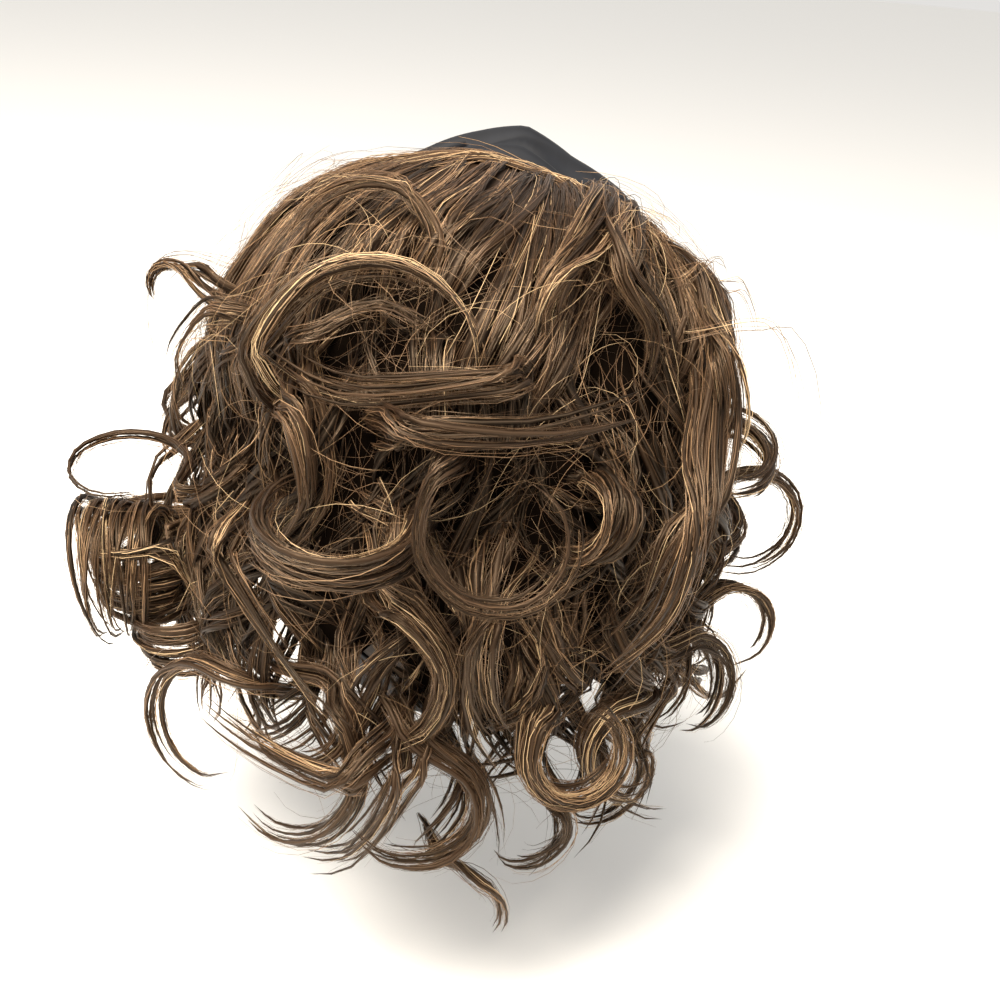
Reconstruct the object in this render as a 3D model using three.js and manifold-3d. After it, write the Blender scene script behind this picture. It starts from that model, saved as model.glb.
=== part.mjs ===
// Headband wig: a net cap, a loop of cloth at its front edge and five pieces of curled hair.
// Millimetres. The origin is the top of the head inside the cap; +Z is up and the face looks to -Y.
import * as THREE from 'three';
import { ParametricGeometry } from 'three/addons/geometries/ParametricGeometry.js';
import { mergeVertices } from 'three/addons/utils/BufferGeometryUtils.js';
import Module from 'manifold-3d';

// Head hollow, an ellipsoid that the cap follows.
const headHalfWidth = 75;
const headHalfDepth = 95;
const headHalfHeight = 112;
const dropPerDegree = 1.83;

// Cap and headband.
const capWall = 1.6;
const gap = 0.35;
const bandWall = 2;
const bandTopY = -42;
const bandNapeY = 78;
const bandTopWidth = 46;
const bandNapeWidth = 28;
const bandSteps = 5;

// Hair backing: its thickness at the crown and on the sides, and where it ends.
const crownOut = 10;
const sideOut = 30;
const capClearance = capWall + gap + 2.2;
const curtainClearance = 13;
const hemRight = 126;
const hemLeft = 112;
const edgeBehindBand = 3;
const waveHeight = 4.5;
const waveAngle = 30;

// Cuts between the pieces of hair: the crown's level, the level of the nape, half the back's angle.
const crownLevel = -16;
const napeLevel = -100;
const backHalfAngle = 38;
const reach = 400;

// Strand locks: sides of the section, and degrees of curl for one ring.
const lockSides = 6;
const ringStep = 44;
const tipSize = 0.3;
const fullness = 1.2;

const radians = THREE.MathUtils.degToRad;
const degrees = THREE.MathUtils.radToDeg;
const mix = THREE.MathUtils.lerp;
const smooth = (value, low, high) => THREE.MathUtils.smoothstep(value, low, high);

// How far the loose cloth of the headband stands off the head, by the angle round the loop:
// 0 is the top of the head, 90 the left ear, 180 the nape.
const bandLift = [
  { angle: -180, lift: 1.5 },
  { angle: -100, lift: 2 },
  { angle: -80, lift: 4 },
  { angle: -66, lift: 12 },
  { angle: -56, lift: 23 },
  { angle: -46, lift: 31 },
  { angle: -36, lift: 33 },
  { angle: -24, lift: 31 },
  { angle: -12, lift: 35 },
  { angle: -2, lift: 28 },
  { angle: 12, lift: 20 },
  { angle: 26, lift: 17 },
  { angle: 40, lift: 11 },
  { angle: 56, lift: 6 },
  { angle: 74, lift: 4 },
  { angle: 100, lift: 2 },
  { angle: 180, lift: 1.5 },
];

// One row for each lock. The root sits at rootAz, rootDown in the backing. The curl is an arc of a
// circle about az, down, out: az runs round the head from the back towards the left ear, down from
// the crown, 90 at the widest level, and out is the distance off the head. The circle faces the
// azimuth face, raised by tilt. Its arc begins at the clock angle start and turns by sweep, while it
// moves by advance along its axis and its radius changes by the factor shrink.
const lockColumns = ['zone', 'rootAz', 'rootDown', 'az', 'down', 'out', 'face', 'tilt', 'radius', 'start', 'sweep',
  'advance', 'shrink', 'width', 'thick'];
const lockRows = [
  ['back', 12, 48, 41, 45, 25, 30, 20, 28, 64, -165, 8, 0.9, 7, 5],
  ['back', 52, 70, 25, 63, 38, 16, 40, 44, 280, 172, 6, 0.95, 9, 6],
  ['back', -8, 61, 27, 30, 31, 16, 40, 83, 157, 67, 4, 1, 13, 6],
  ['back', 41, 64, 24, 64, 36, 16, 40, 31, 304, 96, 4, 0.95, 8, 6],
  ['back', -11, 43, -24, 55, 22, -20, 15, 28, 5, 125, 4, 1, 20, 7],
  ['back', -32, 42, -33, 55, 37, -14, 15, 33, 325, -80, 2, 1, 15, 7],
  ['back', 26, 66, 9, 23, 70, -4, 30, 127, 190, -37, 0, 1, 12, 7],
  ['back', 20, 72, 26, 82, 40, 20, 76, 27, 60, 270, 6, 0.95, 19, 7],
  ['back', 14, 66, 0, 79, 56, 2, 10, 24, 300, -290, 8, 0.95, 5, 4],
  ['back', 12, 46, 11, 61, 22, 100, 0, 15, -20, 220, 0, 0.9, 22, 7],
  ['back', 1, 46, 0, 63, 20, 90, 0, 16, -20, 220, 0, 0.9, 24, 7],
  ['back', -22, 70, -22, 80, 30, 70, 20, 15, -10, 240, 0, 0.9, 18, 7],
  ['right', -51, 44, -36, 64, 40, -46, 20, 38, 50, 98, 0, 1, 18, 8],
  ['right', -62, 106, -70, 91, 44, -12, 5, 20, 285, 290, 6, 0.95, 9, 5],
  ['right', -52, 62, -12, 84, 44, -22, 0, 52, 70, 88, 0, 1, 22, 9],
  ['right', -60, 119, -70, 117, 46, -14, 5, 18, 300, 235, 4, 0.95, 9, 6],
  ['right', -64, 96, -80, 140, 30, -30, 0, 22, 250, -100, 0, 1, 6, 5],
  ['right', -80, 96, -76, 126, 46, -40, 0, 24, 235, -110, 0, 1, 6, 5],
  ['right', -48, 100, -40, 143, 20, -16, 0, 20, 60, 185, 0, 1, 9, 5],
  ['right', -58, 100, -54, 122, 40, -40, 10, 20, 330, 250, 6, 0.9, 12, 6],
  ['right', -50, 76, -62, 78, 36, -20, 60, 18, 330, 270, 6, 0.9, 14, 6],
  ['right', -94, 72, -106, 96, 34, -100, 84, 17, 0, 520, -56, 0.85, 10, 6],
  ['right', -92, 84, -94, 112, 36, -94, 82, 16, 40, 480, -50, 0.85, 10, 6],
  ['left', 68, 62, 50, 81, 40, 40, 0, 38, 46, 96, 6, 1, 18, 8],
  ['left', 64, 58, 82, 66, 52, 30, 0, 9, 20, -200, 6, 0.95, 8, 5],
  ['left', 66, 54, 64, 72, 30, 30, 0, 26, 328, -105, 2, 1, 5, 4],
  ['left', 66, 92, 72, 88, 58, 20, 78, 21, 100, -320, 4, 0.95, 4, 4],
  ['left', 92, 100, 79, 116, 58, 95, -8, 25, -50, 230, 4, 0.95, 34, 8],
  ['left', 76, 104, 72, 125, 37, 60, 72, 18, 60, 300, 6, 0.95, 22, 7],
  ['left', 64, 80, 7, 69, 73, 40, 0, 121, 230, -42, 0, 1, 7, 5],
  ['left', 50, 106, 48, 131, 49, 36, 0, 25, 25, -250, 6, 0.95, 10, 5],
  ['left', 94, 72, 108, 96, 34, 100, 84, 17, 0, -520, -56, 0.85, 10, 6],
  ['left', 82, 92, 80, 122, 40, 70, 82, 16, -40, -480, -44, 0.85, 10, 6],
  ['nape', 0, 89, -38, 94, 67, -6, 0, 88, 268, -40, 0, 1, 18, 8],
  ['nape', -10, 104, -19, 121, 46, -16, 8, 20, 300, -320, 8, 0.9, 14, 7],
  ['nape', 26, 100, 21, 107, 43, 14, 0, 34, 36, 130, 4, 1, 16, 8],
  ['nape', 20, 110, 31, 76, 55, 42, 0, 109, 166, 36, 0, 1, 13, 6],
  ['nape', 30, 106, 35, 131, 40, 34, 0, 37, 56, 160, 0, 1, 11, 6],
  ['nape', 14, 108, 41, 122, 40, 36, 0, 68, 100, 76, 0, 1, 12, 6],
  ['nape', 10, 106, 8, 133, 44, 6, 5, 24, 10, 235, 6, 0.95, 13, 6],
  ['nape', 0, 108, -2, 159, 40, 2, 0, 16, 10, 150, 0, 1, 6, 5],
  ['nape', -41, 106, -34, 128, 38, -26, 10, 18, 20, -250, 4, 0.9, 12, 6],
  ['nape', 41, 104, 30, 122, 40, 28, 30, 18, 330, 280, 6, 0.9, 12, 6],
  ['nape', -18, 112, -16, 144, 31, 0, 0, 15, 60, 190, 0, 1, 8, 5],
];
const locks = lockRows.map((row) => Object.fromEntries(row.map((value, i) => [lockColumns[i], value])));

const wasm = await Module();
wasm.setup();

// Closed solid of a geometry whose seams and poles have merged, faces pointing out.
function solidOf(geometry) {
  const bare = geometry.clone();
  ['normal', 'uv'].forEach((name) => bare.deleteAttribute(name));
  const merged = mergeVertices(bare, 1e-3);
  const corners = [];
  for (let i = 0; i < merged.index.count; i += 3) {
    const [a, b, c] = [0, 1, 2].map((k) => merged.index.getX(i + k));
    if (a !== b && b !== c && c !== a) corners.push(a, b, c);
  }
  const build = (triVerts) => new wasm.Manifold(new wasm.Mesh({
    numProp: 3,
    vertProperties: new Float32Array(merged.attributes.position.array),
    triVerts: new Uint32Array(triVerts),
  }));
  const solid = build(corners);
  return solid.volume() > 0 ? solid : build(corners.slice().reverse());
}

function geometryOf(solid) {
  const { vertProperties, triVerts } = solid.getMesh();
  const geometry = new THREE.BufferGeometry();
  geometry.setAttribute('position', new THREE.BufferAttribute(new Float32Array(vertProperties), 3));
  geometry.setIndex(new THREE.BufferAttribute(new Uint32Array(triVerts), 1));
  return geometry;
}

function meshOf(name, solid, colour, roughness) {
  const geometry = geometryOf(solid);
  geometry.computeVertexNormals();
  const material = new THREE.MeshStandardMaterial({ color: colour, roughness, metalness: 0 });
  const mesh = new THREE.Mesh(geometry, material);
  mesh.name = name;
  return mesh;
}

// Point off the head: az 0 is the back and 90 the left ear, down 0 the crown and 90 the widest level.
function hull(az, down, out) {
  const upper = radians(Math.min(down, 90));
  const below = dropPerDegree * Math.max(down - 90, 0);
  return new THREE.Vector3(
    (headHalfWidth + out) * Math.sin(upper) * Math.sin(radians(az)),
    (headHalfDepth + out) * Math.sin(upper) * Math.cos(radians(az)),
    (headHalfHeight + out) * Math.cos(upper) - headHalfHeight - below,
  );
}

// The seam of cap and band lies in one plane, from the top of the head to the nape.
const onHead = (y, side) => side * headHalfHeight * Math.sqrt(1 - (y / headHalfDepth) ** 2) - headHalfHeight;
const bandTop = new THREE.Vector3(0, bandTopY, onHead(bandTopY, 1));
const bandNape = new THREE.Vector3(0, bandNapeY, onHead(bandNapeY, -1));
const planeUp = bandTop.clone().sub(bandNape).normalize();
const planeBack = new THREE.Vector3(0, planeUp.z, -planeUp.y);
const headCentre = new THREE.Vector3(0, 0, -headHalfHeight);
const seamHeight = bandTop.clone().sub(headCentre).dot(planeBack);
const behindSeam = (point) => point.clone().sub(bandTop).dot(planeBack);

// Point of the ellipse in which the plane at this height cuts the head grown by out.
function planeRing(angle, height, out) {
  const a = headHalfWidth + out;
  const b = (headHalfDepth + out) ** 2;
  const c = (headHalfHeight + out) ** 2;
  const along = planeUp.y ** 2 / b + planeUp.z ** 2 / c;
  const cross = (planeBack.y * planeUp.y) / b + (planeBack.z * planeUp.z) / c;
  const square = planeBack.y ** 2 / b + planeBack.z ** 2 / c;
  const scale = Math.sqrt(Math.max(1 - height * height * (square - (cross * cross) / along), 0));
  const middle = (-height * cross) / along;
  const point = headCentre.clone().addScaledVector(planeBack, height);
  point.addScaledVector(planeUp, middle + (scale / Math.sqrt(along)) * Math.cos(angle));
  point.x += a * scale * Math.sin(angle);
  return point;
}

// Height of the farthest plane that still touches the head grown by out.
function poleHeight(out) {
  const b = (headHalfDepth + out) ** 2;
  const c = (headHalfHeight + out) ** 2;
  const along = planeUp.y ** 2 / b + planeUp.z ** 2 / c;
  const cross = (planeBack.y * planeUp.y) / b + (planeBack.z * planeUp.z) / c;
  const square = planeBack.y ** 2 / b + planeBack.z ** 2 / c;
  return 1 / Math.sqrt(square - (cross * cross) / along);
}

// Cap: rings from the inner pole down to the seam, and back up outside.
function capSurface(u, v, target) {
  const out = v < 0.5 ? 0 : capWall;
  const part = v < 0.5 ? v / 0.4667 : (1 - v) / 0.4667;
  const pole = poleHeight(out);
  const turn = Math.min(part, 1) * Math.acos(seamHeight / pole);
  target.copy(planeRing(u * 2 * Math.PI, pole * Math.cos(turn), out));
}
const cap = solidOf(new ParametricGeometry(capSurface, 28, 15));

// Lift of the band at an angle in degrees, eased between the rows.
function liftAt(angle) {
  const next = Math.max(bandLift.findIndex((row) => row.angle >= angle), 1);
  const [low, high] = [bandLift[next - 1], bandLift[next]];
  return mix(low.lift, high.lift, smooth(angle, low.angle, high.angle));
}

// Headband: from its seam the loose cloth rises to a ridge and comes down to the front edge.
function bandLine(angle, across) {
  const width = mix(bandNapeWidth, bandTopWidth, (1 + Math.cos(angle)) / 2);
  const rise = Math.sin(Math.PI * Math.sqrt(across)) * (liftAt(degrees(angle)) - 1);
  return new THREE.Vector2(seamHeight - gap - bandWall / 2 - width * across, 1.4 + Math.max(rise, 0));
}
function bandSurface(u, v, target) {
  const angle = (u * 2 - 1) * Math.PI;
  const step = Math.round(v * (2 * bandSteps + 2)) % (2 * bandSteps + 2);
  const outside = step <= bandSteps;
  const across = (outside ? step : 2 * bandSteps + 1 - step) / bandSteps;
  const here = bandLine(angle, across);
  const ahead = bandLine(angle, Math.min(across + 0.02, 1)).sub(bandLine(angle, Math.max(across - 0.02, 0)));
  const normal = new THREE.Vector2(ahead.y, -ahead.x).normalize();
  here.addScaledVector(normal, outside ? bandWall / 2 : -bandWall / 2);
  target.copy(planeRing(angle, Math.min(here.x, seamHeight - gap), Math.max(here.y, 0.3)));
}
const headband = solidOf(new ParametricGeometry(bandSurface, 44, 2 * bandSteps + 2));

// Hair backing: a shell over the cap that hangs past the ears and the nape and leaves the face open.
function hemAt(az) {
  const hang = mix(hemRight, hemLeft, smooth(az, -5, 30));
  let [low, high] = [0, hang];
  for (let i = 0; i < 24; i += 1) {
    const middle = (low + high) / 2;
    if (behindSeam(hull(az, middle, crownOut / 2)) > edgeBehindBand) low = middle;
    else high = middle;
  }
  return mix(low, hang, 1 - smooth(Math.abs(az), 88, 112));
}
function backingInner(az, down) {
  const ahead = -behindSeam(hull(az, down, capClearance));
  const lift = smooth(ahead, -14, 4) * (1 - smooth(Math.abs(az), 122, 142));
  return capClearance + (curtainClearance - capClearance) * lift;
}
function backingOuter(az, down) {
  const sides = mix(0.1, 1, 1 - smooth(Math.abs(az), 108, 150));
  const wave = waveHeight * Math.cos((2 * Math.PI * az) / waveAngle + down / 14) * smooth(down, 30, 60);
  return crownOut + ((sideOut - crownOut) * smooth(down, 8, 55) + wave) * sides;
}
function backing(grow) {
  return solidOf(new ParametricGeometry((u, v, target) => {
    const az = u * 360 - 180;
    const hem = hemAt(az) + grow;
    const outside = v <= 0.6;
    const down = Math.max(outside ? (v / 0.6) * hem : ((1 - v) / 0.3333) * hem, 0);
    const level = Math.min(down, hem);
    const out = outside ? backingOuter(az, level) + grow : backingInner(az, level) - grow;
    target.copy(hull(az, level, out));
  }, 48, 15));
}

// Lock: from its root in an even bend to its circle and round it, as a ribbon that lies flat on the
// head at first and stands on edge in the curl.
function lockGuides(lock) {
  const [face, tilt] = [radians(lock.face), radians(lock.tilt)];
  const axis = new THREE.Vector3(Math.sin(face) * Math.cos(tilt), Math.cos(face) * Math.cos(tilt), Math.sin(tilt));
  const right = new THREE.Vector3(-Math.cos(face), Math.sin(face), 0);
  const up = axis.clone().cross(right);
  const centre = hull(lock.az, lock.down, lock.out);
  const steps = Math.max(2, Math.round(Math.abs(lock.sweep) / 45));
  const curl = [];
  for (let i = 0; i <= steps; i += 1) {
    const part = i / steps;
    const clock = radians(lock.start + lock.sweep * part);
    const radius = lock.radius * mix(1, lock.shrink, part);
    const point = centre.clone().addScaledVector(up, radius * Math.cos(clock));
    point.addScaledVector(right, radius * Math.sin(clock)).addScaledVector(axis, lock.advance * (part - 0.5));
    curl.push(point);
  }
  const rootOut = (backingInner(lock.rootAz, lock.rootDown) + backingOuter(lock.rootAz, lock.rootDown)) / 2;
  const root = hull(lock.rootAz, lock.rootDown, rootOut);
  const length = root.distanceTo(curl[0]);
  const leave = root.clone().sub(headCentre).normalize().multiplyScalar(0.5);
  leave.addScaledVector(curl[0].clone().sub(root), 1 / length).setLength(length);
  const arrive = curl[0].clone().sub(centre).cross(axis).multiplyScalar(Math.sign(lock.sweep)).setLength(length);
  const guides = [0, 1 / 3, 2 / 3].map((part) => {
    const point = root.clone().multiplyScalar(2 * part ** 3 - 3 * part ** 2 + 1);
    point.addScaledVector(leave, part ** 3 - 2 * part ** 2 + part);
    point.addScaledVector(curl[0], 3 * part ** 2 - 2 * part ** 3);
    return point.addScaledVector(arrive, part ** 3 - part ** 2);
  });
  guides.push(...curl);
  return { axis, curve: new THREE.CatmullRomCurve3(guides, false, 'catmullrom', 0.5), turn: 3 / (guides.length - 1) };
}
function lockSolid(lock, grow) {
  const { axis, curve, turn } = lockGuides(lock);
  const flatWidth = (t) => {
    const out = curve.getPoint(t).sub(headCentre).multiply(new THREE.Vector3(1, 1, 0.6));
    return out.cross(curve.getTangent(t)).normalize();
  };
  const side = flatWidth(turn).dot(axis) < 0 ? -1 : 1;
  const rings = Math.max(7, Math.round(Math.abs(lock.sweep) / ringStep) + 5);
  return solidOf(new ParametricGeometry((u, v, target) => {
    const tangent = curve.getTangent(v);
    const width = flatWidth(v).multiplyScalar(side).lerp(axis, smooth(v, turn - 0.18, turn + 0.06));
    width.addScaledVector(tangent, -width.dot(tangent)).normalize();
    const thick = tangent.clone().cross(width);
    const taper = v === 0 || v === 1 ? 0 : mix(1, tipSize, v ** 3);
    const turnRound = u * 2 * Math.PI;
    const open = taper > 0 ? grow : 0;
    target.copy(curve.getPoint(v));
    target.addScaledVector(width, ((taper * fullness * lock.width) / 2 + open) * Math.cos(turnRound));
    target.addScaledVector(thick, ((taper * fullness * lock.thick) / 2 + open) * Math.sin(turnRound));
  }, lockSides, rings));
}

// Blocks that share the backing out between the pieces of hair, with the gap between them.
function block(outline, low, high) {
  const shape = new THREE.Shape(outline.map(([x, y]) => new THREE.Vector2(x, y)));
  const geometry = new THREE.ExtrudeGeometry(shape, { depth: high - low, bevelEnabled: false });
  return solidOf(geometry.translate(0, 0, low));
}
function zoneBlock(zone, grow) {
  const half = gap / 2 - grow;
  const wing = reach * Math.tan(radians(backHalfAngle));
  const behind = [[0, half * 1.5], [wing, reach + half * 1.5], [-wing, reach + half * 1.5]];
  const left = [[half, -reach], [reach, -reach], [reach + wing, reach], [wing + half * 1.5, reach], [half * 1.5, 0]];
  const all = [[-reach, -reach], [reach, -reach], [reach, reach], [-reach, reach]];
  if (zone === 'crown') return block(all, crownLevel + half, reach);
  if (zone === 'back') return block(behind, napeLevel + half, crownLevel - half);
  if (zone === 'nape') return block(behind, -reach, napeLevel - half);
  if (zone === 'left') return block(left, -reach, crownLevel - half);
  return block(left.map(([x, y]) => [-x, y]).reverse(), -reach, crownLevel - half);
}
function hairSolid(zone, grow) {
  const own = locks.filter((lock) => lock.zone === zone).map((lock) => lockSolid(lock, grow));
  return own.reduce((sum, lock) => sum.add(lock), backing(grow).intersect(zoneBlock(zone, grow)));
}
// The main body of a cut piece, once vertices that almost touch are one.
function mainBody(solid) {
  const biggest = (whole) => whole.decompose().reduce((best, body) => (body.volume() > best.volume() ? body : best));
  return biggest(solidOf(geometryOf(biggest(solid))));
}

const wig = new THREE.Group();
wig.add(meshOf('headband', headband, 0x3a3a3b, 0.7));
wig.add(meshOf('cap', cap, 0x2b221c, 0.9));
const hairNames = {
  crown: 'crown_hair',
  back: 'back_curls',
  nape: 'nape_curls',
  left: 'left_curls',
  right: 'right_curls',
};
let taken = headband.add(cap);
for (const [zone, name] of Object.entries(hairNames)) {
  const hair = mainBody(hairSolid(zone, 0).subtract(taken));
  wig.add(meshOf(name, hair, 0x735841, 0.5));
  taken = taken.add(hairSolid(zone, gap));
}

export default wig;
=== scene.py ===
import math
import bpy
import numpy as np
from mathutils import Matrix


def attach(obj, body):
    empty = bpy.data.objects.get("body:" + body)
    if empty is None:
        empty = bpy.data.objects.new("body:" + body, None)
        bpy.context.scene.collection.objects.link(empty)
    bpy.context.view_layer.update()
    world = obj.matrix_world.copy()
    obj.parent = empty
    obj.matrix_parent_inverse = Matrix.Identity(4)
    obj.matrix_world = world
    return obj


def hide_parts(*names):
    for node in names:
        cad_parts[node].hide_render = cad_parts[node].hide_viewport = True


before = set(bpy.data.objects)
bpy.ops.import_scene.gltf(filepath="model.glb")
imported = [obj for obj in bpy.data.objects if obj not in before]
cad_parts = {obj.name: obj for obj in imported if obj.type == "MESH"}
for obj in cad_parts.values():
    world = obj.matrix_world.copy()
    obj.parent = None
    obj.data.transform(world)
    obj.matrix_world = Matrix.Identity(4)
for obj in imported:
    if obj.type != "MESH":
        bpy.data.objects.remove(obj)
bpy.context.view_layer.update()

mm = 0.001
fullTurn = 2 * math.pi
noTris = np.zeros((0, 3), int)
scene = bpy.context.scene
scene.view_settings.view_transform = "Standard"
scene.view_settings.look = "None"


def linear(hexColour):  # sRGB hex to the linear colour that shaders take
    channels = [int(hexColour[i:i + 2], 16) / 255 for i in (1, 3, 5)]
    return [c / 12.92 if c <= 0.04045 else ((c + 0.055) / 1.055) ** 2.4 for c in channels] + [1.0]


def node(tree, kind, settings=None, **inputs):
    # Adds a node, sets its fields, and links or sets its inputs, by name or as i and their number.
    made = tree.nodes.new(kind)
    for key, value in (settings or {}).items():
        setattr(made, key, value)
    for key, value in inputs.items():
        socket = made.inputs[int(key[1:])] if key[1:].isdigit() else made.inputs[key]
        if isinstance(value, bpy.types.NodeSocket):
            tree.links.new(value, socket)
        else:
            socket.default_value = value
    return made


def material(name, values):  # a principled material with these inputs
    made = bpy.data.materials.new(name)
    made.use_nodes = True
    shader = made.node_tree.nodes["Principled BSDF"]
    for key, value in values.items():
        shader.inputs[key].default_value = value
    return made, made.node_tree, shader


def placed(name, data, axes, place):  # an object at a place, its own axes in the columns of axes
    made = bpy.data.objects.new(name, data)
    made.matrix_world = Matrix([list(axes[i]) + [place[i]] for i in range(3)] + [[0, 0, 0, 1]])
    scene.collection.objects.link(made)
    return made


def smooth(x, low, high):  # smoothstep from 0 at low to 1 at high
    t = np.clip((np.asarray(x, float) - low) / (high - low), 0, 1)
    return t * t * (3 - 2 * t)


def unit(v):  # a vector over its length
    return v / np.maximum(np.linalg.norm(v, axis=-1, keepdims=True), 1e-9)


def squareTo(v, direction):  # v less its part along a direction, at length 1
    return unit(v - direction * (v * direction).sum(-1, keepdims=True))


def meshObject(name, points, quads, tris, materials, tone=None, uv=None, girth=0):
    # points in mm, corner indices of the faces, tone a material index for each face.
    # uv, in mm, is for meshes of quads alone; girth is the u at which they close on themselves.
    mesh = bpy.data.meshes.new(name)
    points = np.ascontiguousarray(points.reshape(-1, 3) * mm, np.float32)
    quads, tris = quads.reshape(-1, 4), tris.reshape(-1, 3)
    corners = np.concatenate([quads.ravel(), tris.ravel()]).astype(np.int32)
    triStarts = len(quads) * 4 + np.arange(len(tris)) * 3
    starts = np.concatenate([np.arange(len(quads)) * 4, triStarts]).astype(np.int32)
    mesh.vertices.add(len(points))
    mesh.vertices.foreach_set("co", points.ravel())
    mesh.loops.add(len(corners))
    mesh.loops.foreach_set("vertex_index", corners)
    mesh.polygons.add(len(starts))
    mesh.polygons.foreach_set("loop_start", starts)
    if tone is not None:
        mesh.polygons.foreach_set("material_index", tone.astype(np.int32))
    mesh.polygons.foreach_set("use_smooth", np.ones(len(starts), bool))
    if uv is not None:
        layer = mesh.uv_layers.new(name="map")
        uv = uv[corners].reshape(-1, 4, 2)
        uv[..., 0] += girth * (uv[..., 0].max(1, keepdims=True) - uv[..., 0] > girth / 2)
        layer.data.foreach_set("uv", uv.astype(np.float32).ravel())
    for m in materials:
        mesh.materials.append(m)
    mesh.update(calc_edges=True)
    mesh.validate()
    made = bpy.data.objects.new(name, mesh)
    scene.collection.objects.link(made)
    return made


def gridFaces(rows, columns, closeRows=False, closeColumns=False):  # quads of a grid of points
    r = np.arange(rows if closeRows else rows - 1)[:, None]
    c = np.arange(columns if closeColumns else columns - 1)[None, :]
    r2, c2 = (r + 1) % rows, (c + 1) % columns
    return np.stack([r * columns + c, r * columns + c2, r2 * columns + c2, r2 * columns + c], -1)


# Head and hair form, in mm. az 0 is the back, 90 the left ear; down 0 is the crown, 90 the widest level.
head = dict(halfWidth=75, halfDepth=95, halfHeight=112, dropPerDegree=1.83)
halfSizes = np.array([head["halfWidth"], head["halfDepth"], head["halfHeight"]])
headCentre = np.array([0, 0, -head["halfHeight"]])
seam = dict(topY=-42, napeY=78)
hairForm = dict(crownOut=10, sideOut=30, swell=(8, 55), thinAz=(108, 150), thinShare=0.1, faceAz=(88, 112),
                capClearance=4.15, curtain=13, hemRight=126, hemLeft=112, behindBand=3)


def hull(az, down, out):  # ellipsoid grown by out above the widest level, an upright wall below it
    az, down, out = np.broadcast_arrays(np.radians(az), np.asarray(down, float), np.asarray(out, float))
    upper = np.radians(np.minimum(down, 90))
    below = head["dropPerDegree"] * np.maximum(down - 90, 0)
    return np.stack([(head["halfWidth"] + out) * np.sin(upper) * np.sin(az),
                     (head["halfDepth"] + out) * np.sin(upper) * np.cos(az),
                     (head["halfHeight"] + out) * np.cos(upper) - head["halfHeight"] - below], -1)


def onHead(y, side):  # z of the middle outline at y, on its upper side (1) or its lower one (-1)
    return side * head["halfHeight"] * math.sqrt(1 - (y / head["halfDepth"]) ** 2) - head["halfHeight"]


# The seam's plane runs from the top of the band to the nape; heights count from the centre to the back.
seamTop = np.array([0, seam["topY"], onHead(seam["topY"], 1)])
seamNape = np.array([0, seam["napeY"], onHead(seam["napeY"], -1)])
planeUp = unit(seamTop - seamNape)
planeBack = np.array([0, planeUp[2], -planeUp[1]])
seamHeight = (seamTop - headCentre) @ planeBack


def planeTerms(out):  # squares of the head grown by out: along the plane, mixed, and what height takes off
    b, c = (head["halfDepth"] + out) ** 2, (head["halfHeight"] + out) ** 2
    along = planeUp[1] ** 2 / b + planeUp[2] ** 2 / c
    mixed = planeBack[1] * planeUp[1] / b + planeBack[2] * planeUp[2] / c
    return along, mixed, planeBack[1] ** 2 / b + planeBack[2] ** 2 / c - mixed ** 2 / along


def planeRing(angle, height, out):  # ellipse in which the plane at this height cuts the head grown by out
    angle, height, out = (np.asarray(value, float) for value in (angle, height, out))
    angle, height, out = np.broadcast_arrays(angle, height, out)
    along, mixed, loss = planeTerms(out)
    scale = np.sqrt(np.maximum(1 - height ** 2 * loss, 0))
    rise = -height * mixed / along + scale / np.sqrt(along) * np.cos(angle)
    point = headCentre + height[..., None] * planeBack + rise[..., None] * planeUp
    point[..., 0] += (head["halfWidth"] + out) * scale * np.sin(angle)
    return point


hollowColumns = "az down size depth".split()
hollows = np.array([  # dark hollows between the big curls, the last one out of the photo's sight
    [-29, 56, 8.5, 17],
    [25, 57, 8, 13],
    [2, 76, 6, 9],
    [-5, 84, 7, 13],
    [-36, 80, 5, 11],
    [-24, 98, 7, 12],
    [26, 78, 6, 9],
    [56, 79, 7, 8],
    [-23, 123, 6, 12],
    [-122, 40, 18, 9],
], float)


def hairOuter(az, down):  # how far the hair mass stands off: a swell towards the sides, less the hollows
    az, down = np.broadcast_arrays(np.asarray(az, float), np.asarray(down, float))
    thin = hairForm["thinShare"]
    sides = thin + (1 - thin) * (1 - smooth(np.abs(az), *hairForm["thinAz"]))
    swell = (hairForm["sideOut"] - hairForm["crownOut"]) * smooth(down, *hairForm["swell"])
    out = hairForm["crownOut"] + swell * sides
    for row in hollows:
        hollow = dict(zip(hollowColumns, row))
        apart = ((az - hollow["az"]) ** 2 + (down - hollow["down"]) ** 2) / (2 * hollow["size"] ** 2)
        out = out - hollow["depth"] * np.exp(-apart)
    return out


def offHead(points):  # how far points lie off the head, and which way is out
    away = points - headCentre
    away[..., 2] = np.maximum(away[..., 2], 0)
    times = np.linalg.norm(away / halfSizes, axis=-1)
    return np.linalg.norm(away, axis=-1) * (1 - 1 / times), unit(away)


def onDome(course, out):  # point off the head along a unit course
    return course * (halfSizes + out[..., None]) + headCentre


def domeCourse(az, down):  # unit course to an az and down
    az, down = np.radians(az), np.radians(down)
    return np.stack([np.sin(down) * np.sin(az), np.sin(down) * np.cos(az), np.cos(down)], -1)


def domeAngles(course):  # az and down of unit courses
    az = np.degrees(np.arctan2(course[..., 0], course[..., 1]))
    return az, np.degrees(np.arccos(np.clip(course[..., 2], -1, 1)))


def seamCourse(angle, behind, out):  # unit course to an angle round the seam, behind it and off the head
    point = planeRing(np.radians(angle), seamHeight + behind, out) - headCentre
    return unit(point / (halfSizes + out))


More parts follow.
